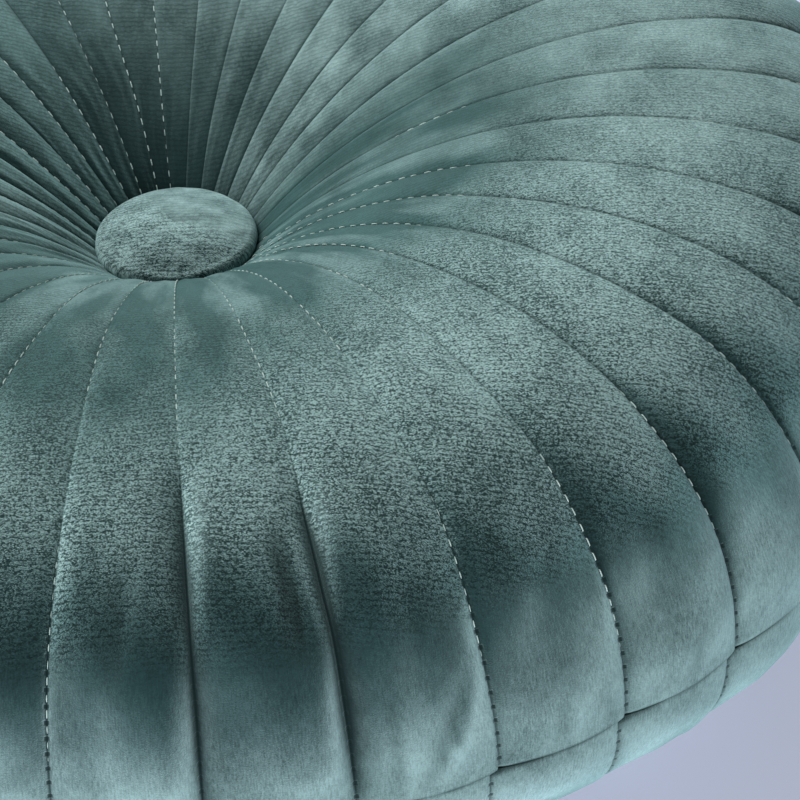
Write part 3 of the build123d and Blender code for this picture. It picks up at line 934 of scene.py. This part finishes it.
def velvet(name, lift=0.0, grain=1.0, patch_scale=(0.045, 0.028, 1.0), patchiness=1.25, zones=True):
    """Short velvet pile with painted sheen, and needle holes and painted shade in the grooves along
    the stitch lines.
    """
    m = Nodes(name)
    cloth, brushed = m.attribute("cloth"), m.attribute("brushed")
    angle = m.parts(brushed)[2]
    side = m.ramp(angle, 50.0, 28.0)
    tone, pile = velvet_grain(m, cloth, brushed, side, grain)
    patch = m.centred(m.noise(m.scaled(cloth, patch_scale), 1.0, 4.0, 0.65))
    tone = m.maths("ADD", m.maths("MULTIPLY_ADD", patch, patchiness, tone), lift)
    hole, dark = stitch_marks(m, angle)
    height = m.maths("SUBTRACT", pile, m.product(hole, 0.6))
    bump = m.node("ShaderNodeBump", {"Strength": 0.45, "Distance": 0.0003, "Height": height})
    normal = bump.outputs[0]
    # Facing drives the sheen that is painted into the colour.
    weight = m.node("ShaderNodeLayerWeight", {"Blend": 0.5, "Normal": normal})
    teal = teal_zone(m, cloth, brushed) if zones else 0.0
    crease = m.parts(m.attribute("shade"))[0]
    colour = pile_colour(m, tone, weight.outputs["Facing"], teal, crease)
    colour = shaded_zones(m, colour, angle, cloth, zones)
    # Painted shade in creases and beside lines.
    colour = m.shade(crease, colour, CREASE_SHADE)
    m.put(m.shader.inputs["Normal"], normal)
    # Painted shade in the stitch grooves and holes.
    m.put(m.shader.inputs["Base Color"], m.mix(dark, colour, GROOVE_PAINTED_SHADE))
    m.shader.inputs["Roughness"].default_value = 0.95
    m.shader.inputs["Specular IOR Level"].default_value = 0.1
    m.shader.inputs["Sheen Weight"].default_value = 0.5
    m.shader.inputs["Sheen Roughness"].default_value = 0.5
    m.shader.inputs["Sheen Tint"].default_value = SHEEN_TINT
    return m.material


def plain_weave(name, dark, pale, scale, roughness=0.8, metallic=0.0, bump_depth=0.0001, sheen=0.0):
    """A fine-grained finish for the threads, the fillings and the metal."""
    m = Nodes(name)
    place = m.node("ShaderNodeTexCoord").outputs["Object"]
    fine = m.noise(place, scale, 4.0, 0.6)
    broad = m.noise(place, scale / 12.0, 2.0, 0.5)
    tone = m.maths("MULTIPLY_ADD", fine, 0.7, m.maths("MULTIPLY", broad, 0.3))
    m.put(m.shader.inputs["Base Color"], m.mix(m.ramp(tone, 0.3, 0.7), dark, pale))
    m.shader.inputs["Roughness"].default_value = roughness
    m.shader.inputs["Metallic"].default_value = metallic
    m.shader.inputs["Sheen Weight"].default_value = sheen
    bump = m.node("ShaderNodeBump", {"Strength": 0.6, "Distance": bump_depth, "Height": fine})
    m.put(m.shader.inputs["Normal"], bump.outputs[0])
    return m.material


def dress(piece, material):
    """Give a piece one material in place of what it had."""
    piece.data.materials.clear()
    piece.data.materials.append(material)


# ---------------------------------------------------------------- the cushion

THREAD_DARK, THREAD_PALE = (0.30, 0.44, 0.41, 1), (0.64, 0.79, 0.75, 1)
FILLING_DARK, FILLING_PALE = (0.62, 0.60, 0.55, 1), (0.86, 0.85, 0.81, 1)
TWINE_DARK, TWINE_PALE = (0.40, 0.36, 0.28, 1), (0.70, 0.65, 0.54, 1)
SHELL_DARK, SHELL_PALE = (0.55, 0.56, 0.57, 1), (0.72, 0.73, 0.74, 1)
WIRE_DARK, WIRE_PALE = (0.40, 0.40, 0.41, 1), (0.62, 0.62, 0.63, 1)


def build_half(prefix, outline, materials):
    """The velvet, stitches and button of one half. The face, its stitches and the button are each put
    on the body they move with; the dimple and its stitches are baked in place.
    """
    side = outline.side
    face, dimple = cover_half(prefix, outline)
    face_thread, dimple_thread = stitches(prefix, outline)
    cap = button(prefix, side)
    for piece in (face, dimple, cap):
        dress(piece, materials["button" if piece is cap else "velvet"])
    for piece in (face_thread, dimple_thread):
        dress(piece, materials["thread"])
    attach(face, "root")
    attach(face_thread, "root")
    for piece in (dimple, dimple_thread):
        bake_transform(piece)
    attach(cap, f"{prefix}_button")
    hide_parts(f"{prefix}_cover", f"{prefix}_wadding", f"{prefix}_backing")
    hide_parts(f"{prefix}_quilting_thread")
    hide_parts(f"{prefix}_button_fabric")


def build_cushion():
    """Both halves. Returns the thread's material, which the CAD's threads also get."""
    materials = {
        "velvet": velvet("velvet_cloth"),
        "button": velvet("button_velvet", BUTTON_NAP_AND_PAINTED_LIGHT, 0.62, (0.10, 0.15, 1.0), 2.0, zones=False),
        "thread": plain_weave("mint_thread", THREAD_DARK, THREAD_PALE, 3000.0, 0.7, sheen=0.2),
    }
    for prefix, outline in (("top", TOP), ("bottom", BOTTOM)):
        build_half(prefix, outline, materials)
    return materials["thread"]


def dress_cad_nodes(thread):
    """Finishes for the CAD's own nodes, by words in their names. The last match stays."""
    filling = plain_weave("fibre_filling", FILLING_DARK, FILLING_PALE, 900.0, 1.0,
                          bump_depth=0.0006, sheen=0.4)
    twine = plain_weave("tufting_twine", TWINE_DARK, TWINE_PALE, 2600.0, 0.9)
    shell = plain_weave("button_shell", SHELL_DARK, SHELL_PALE, 1500.0, 0.38, 1.0)
    wire = plain_weave("eye_wire", WIRE_DARK, WIRE_PALE, 2500.0, 0.3, 1.0)
    finishes = (("filling", filling), ("twine", twine), ("button_cap", shell), ("button_back", shell),
                ("button_eye", wire), ("thread", thread))
    for name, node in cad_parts.items():
        for words, material in finishes:
            if words in name:
                dress(node, material)


# ---------------------------------------------------------------- floor, light, camera

FLOOR_REACH = 12.0
FLOOR_DARK, FLOOR_PALE = (0.56, 0.59, 0.80, 1), (0.60, 0.63, 0.83, 1)
FLOOR_GLOW = 0.28
FLOOR_GLOW_COLOUR = (0.80, 0.84, 1.0, 1)
WORLD_COLOUR = (0.90, 0.94, 1.0, 1)
WORLD_STRENGTH = 0.03
# Lamps: name, azimuth, elevation, width and height in metres, watts. Azimuth 0 is the camera's side.
LAMPS = (
    ("back_left_low", -130, 30, (1.0, 1.0), 29),
    ("back_left_high", -130, 60, (1.0, 1.0), 14),
    ("front_low", -8, 11, (1.6, 0.8), 27),
    ("front_right", 45, 25, (1.0, 1.0), 4.5),
)
LAMP_DISTANCE = 1.8
LAMP_AIM = (0, 0, 0.07)


def build_floor():
    mesh = bpy.data.meshes.new("floor")
    corners = [(x * FLOOR_REACH, y * FLOOR_REACH, 0) for x, y in ((-1, -1), (1, -1), (1, 1), (-1, 1))]
    mesh.from_pydata(corners, [], [(0, 1, 2, 3)])
    floor = link(mesh, "floor")
    m = Nodes("pale_floor")
    place = m.node("ShaderNodeTexCoord").outputs["Object"]
    m.put(m.shader.inputs["Base Color"], m.mix(m.noise(place, 4.0, 3.0), FLOOR_DARK, FLOOR_PALE))
    m.shader.inputs["Roughness"].default_value = 0.75
    m.shader.inputs["Emission Color"].default_value = FLOOR_GLOW_COLOUR
    m.shader.inputs["Emission Strength"].default_value = FLOOR_GLOW
    dress(floor, m.material)


def soft_light(name, azimuth, elevation, size, power):
    """A rectangular area light that points at the cushion."""
    light = bpy.data.lights.new(name, "AREA")
    light.shape = "RECTANGLE"
    light.size, light.size_y = size
    light.energy = power
    lamp = bpy.data.objects.new(name, light)
    bpy.context.scene.collection.objects.link(lamp)
    turn, rise = math.radians(azimuth), math.radians(elevation)
    away = Vector((math.sin(turn) * math.cos(rise), -math.cos(turn) * math.cos(rise), math.sin(rise)))
    lamp.location = Vector(LAMP_AIM) + away * LAMP_DISTANCE
    lamp.rotation_euler = away.to_track_quat("Z", "Y").to_euler()


def build_light():
    world = bpy.data.worlds.new("studio")
    bpy.context.scene.world = world
    world.use_nodes = True
    background = world.node_tree.nodes["Background"]
    background.inputs["Color"].default_value = WORLD_COLOUR
    background.inputs["Strength"].default_value = WORLD_STRENGTH
    for lamp in LAMPS:
        soft_light(*lamp)


def build_camera():
    camera = bpy.data.objects.new("camera", bpy.data.cameras.new("camera"))
    bpy.context.scene.collection.objects.link(camera)
    rise = math.radians(CAMERA_ELEVATION)
    away = Vector((0, -math.cos(rise), math.sin(rise)))
    camera.location = (Vector(CAMERA_TARGET) + away * CAMERA_DISTANCE) * MM
    level = away.to_track_quat("Z", "Y").to_matrix()
    roll = Matrix.Rotation(math.radians(CAMERA_ROLL), 3, Vector((0, 0, 1)))
    camera.rotation_euler = (level @ roll).to_euler()
    camera.data.lens = CAMERA_LENS
    camera.data.sensor_width = SENSOR_WIDTH
    camera.data.clip_start = CLIP_START
    bpy.context.scene.camera = camera


build_camera()
thread_material = build_cushion()
dress_cad_nodes(thread_material)
build_floor()
build_light()
bpy.context.scene.view_settings.view_transform = "Standard"
